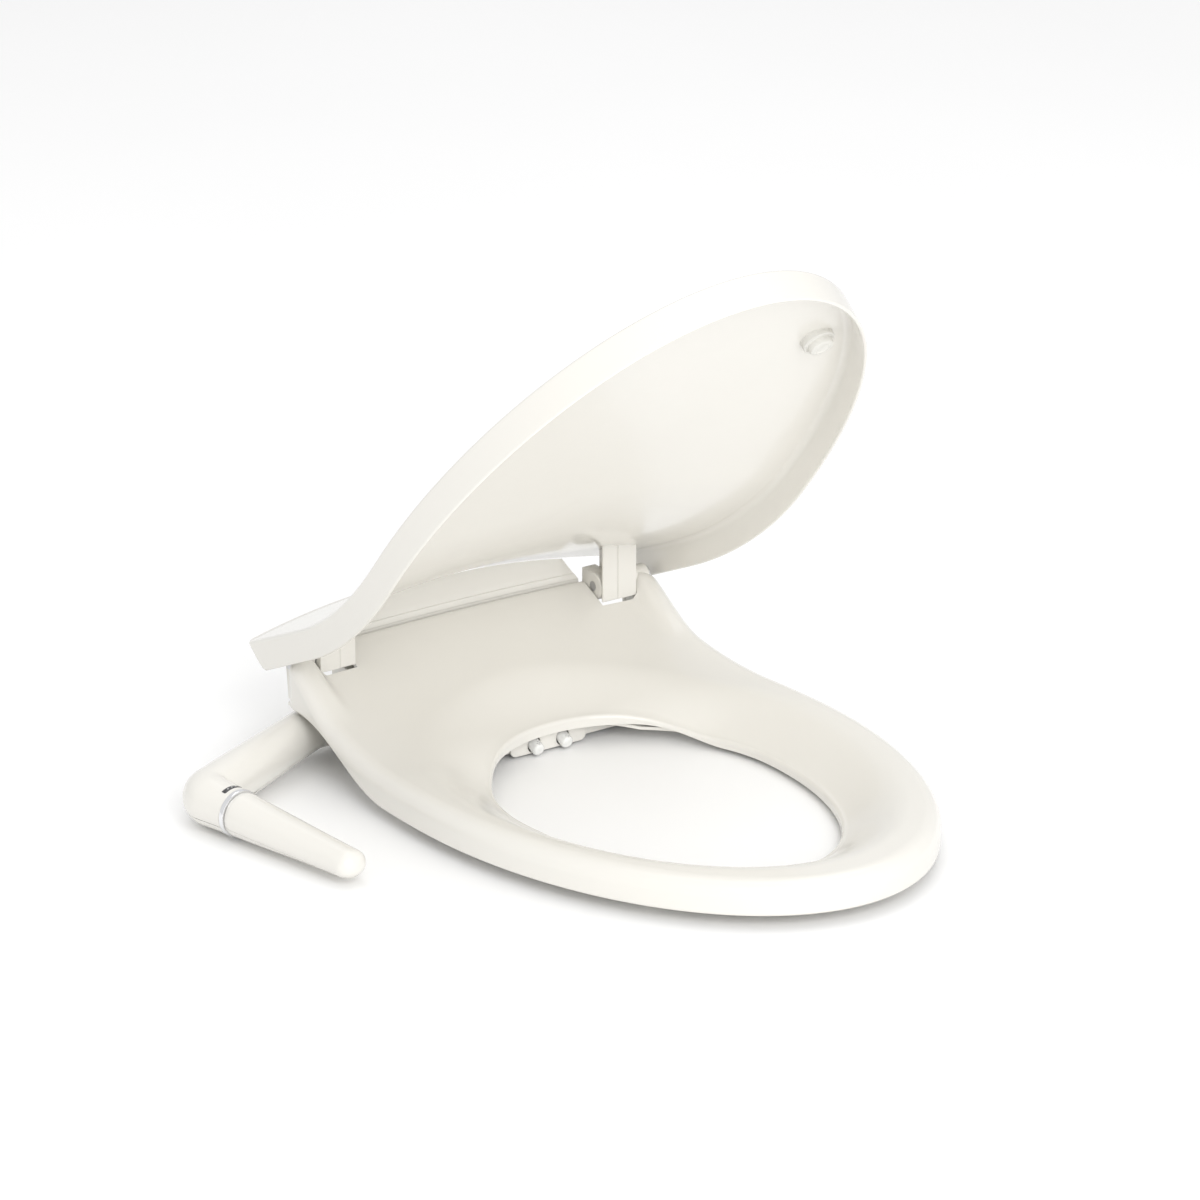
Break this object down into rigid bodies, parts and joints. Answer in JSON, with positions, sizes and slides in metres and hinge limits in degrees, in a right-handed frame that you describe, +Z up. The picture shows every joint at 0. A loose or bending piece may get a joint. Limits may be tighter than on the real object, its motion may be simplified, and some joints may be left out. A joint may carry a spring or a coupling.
{
  "type": "bidet seat",
  "caption": "Toilet seat and domed lid with a side lever arm that works two water-driven wash wands; lid stands part open.",
  "frame": {"origin": "on the top of the bowl, midway between the two bowl bolts", "axes": "+Z up, -Y towards the front of the seat, +X to the right seen from the front; the lever arm is at -X"},
  "size_m": [0.488, 0.5505, 0.4303],
  "materials": {
    "shell": "warm white gloss",
    "grey_plastic": "moulded satin",
    "soft_rubber": "soft pale rubber",
    "steel": "stainless",
    "bright_ring": "bright plated",
    "indicator": "smoked clear",
    "brass": "turned",
    "hose": "translucent tube",
    "wand": "smooth white"
  },
  "bodies": {
    "base": {"base_cover": "shell", "base_housing": "shell", "base_floor": "grey_plastic", "base_screws": "steel", "mounting_plate": "grey_plastic", "hinge_pin_left": "steel", "hinge_pin_right": "steel", "wand_cassette": "grey_plastic", "cassette_cap": "grey_plastic", "nozzle_shield": "shell", "arm_upper": "shell", "arm_lower": "shell", "indicator_window": "indicator", "arm_ring": "bright_ring", "valve_body": "brass", "valve_clip": "grey_plastic", "supply_tube": "hose", "rear_wash_tube": "hose", "front_wash_tube": "hose", "inlet_fitting": "brass", "inlet_filter": "steel", "spring_stop": "grey_plastic", "wand_spring_rear": "steel", "wand_spring_front": "steel", "release_spring": "steel"},
    "seat": {"seat_shell": "shell", "seat_plate": "shell", "seat_screws": "steel", "seat_bumpers": "soft_rubber", "seat_damper": "grey_plastic", "seat_bushing": "grey_plastic"},
    "lid": {"lid_shell": "shell", "lid_bumpers": "soft_rubber", "lid_bushing": "grey_plastic", "lid_damper": "grey_plastic"},
    "handle": {"handle_upper": "shell", "handle_lower": "shell", "handle_hub": "grey_plastic", "valve_spindle": "brass", "spindle_seal": "soft_rubber"},
    "rear_wand": {"wand_rear": "wand", "nozzle_tip_rear": "wand"},
    "front_wand": {"wand_front": "wand", "nozzle_tip_front": "wand"},
    "button": {"release_button": "grey_plastic", "latch_bar": "grey_plastic"}
  },
  "joints": [
    {"name": "seat_lift", "type": "hinge", "parent": "base", "child": "seat", "pos_m": [0, 0.02, 0.0764], "axis": [-1, 0, 0], "range_deg": [0, 65]},
    {"name": "lid_swing", "type": "hinge", "parent": "seat", "child": "lid", "pos_m": [0, 0.02, 0.0764], "axis": [1, 0, 0], "range_deg": [-65, 49.6]},
    {"name": "handle_twist", "type": "hinge", "parent": "base", "child": "handle", "pos_m": [-0.27784, -0.09188, 0.01928], "axis": [0.1563, -0.9867, -0.0436], "range_deg": [-50, 50]},
    {"name": "rear_wand_slide", "type": "slide", "parent": "base", "child": "rear_wand", "axis": [0, -0.9272, -0.3746], "range_m": [0, 0.048], "stiffness_N_per_m": 12, "springref_m": -0.02, "deforming": ["wand_spring_rear"]},
    {"name": "front_wand_slide", "type": "slide", "parent": "base", "child": "front_wand", "axis": [0, -0.9272, -0.3746], "range_m": [0, 0.048], "stiffness_N_per_m": 12, "springref_m": -0.02, "deforming": ["wand_spring_front"]},
    {"name": "button_press", "type": "slide", "parent": "base", "child": "button", "axis": [-1, 0, 0], "range_m": [0, 0.004], "stiffness_N_per_m": 400, "springref_m": -0.002, "deforming": ["release_spring"]}
  ]
}
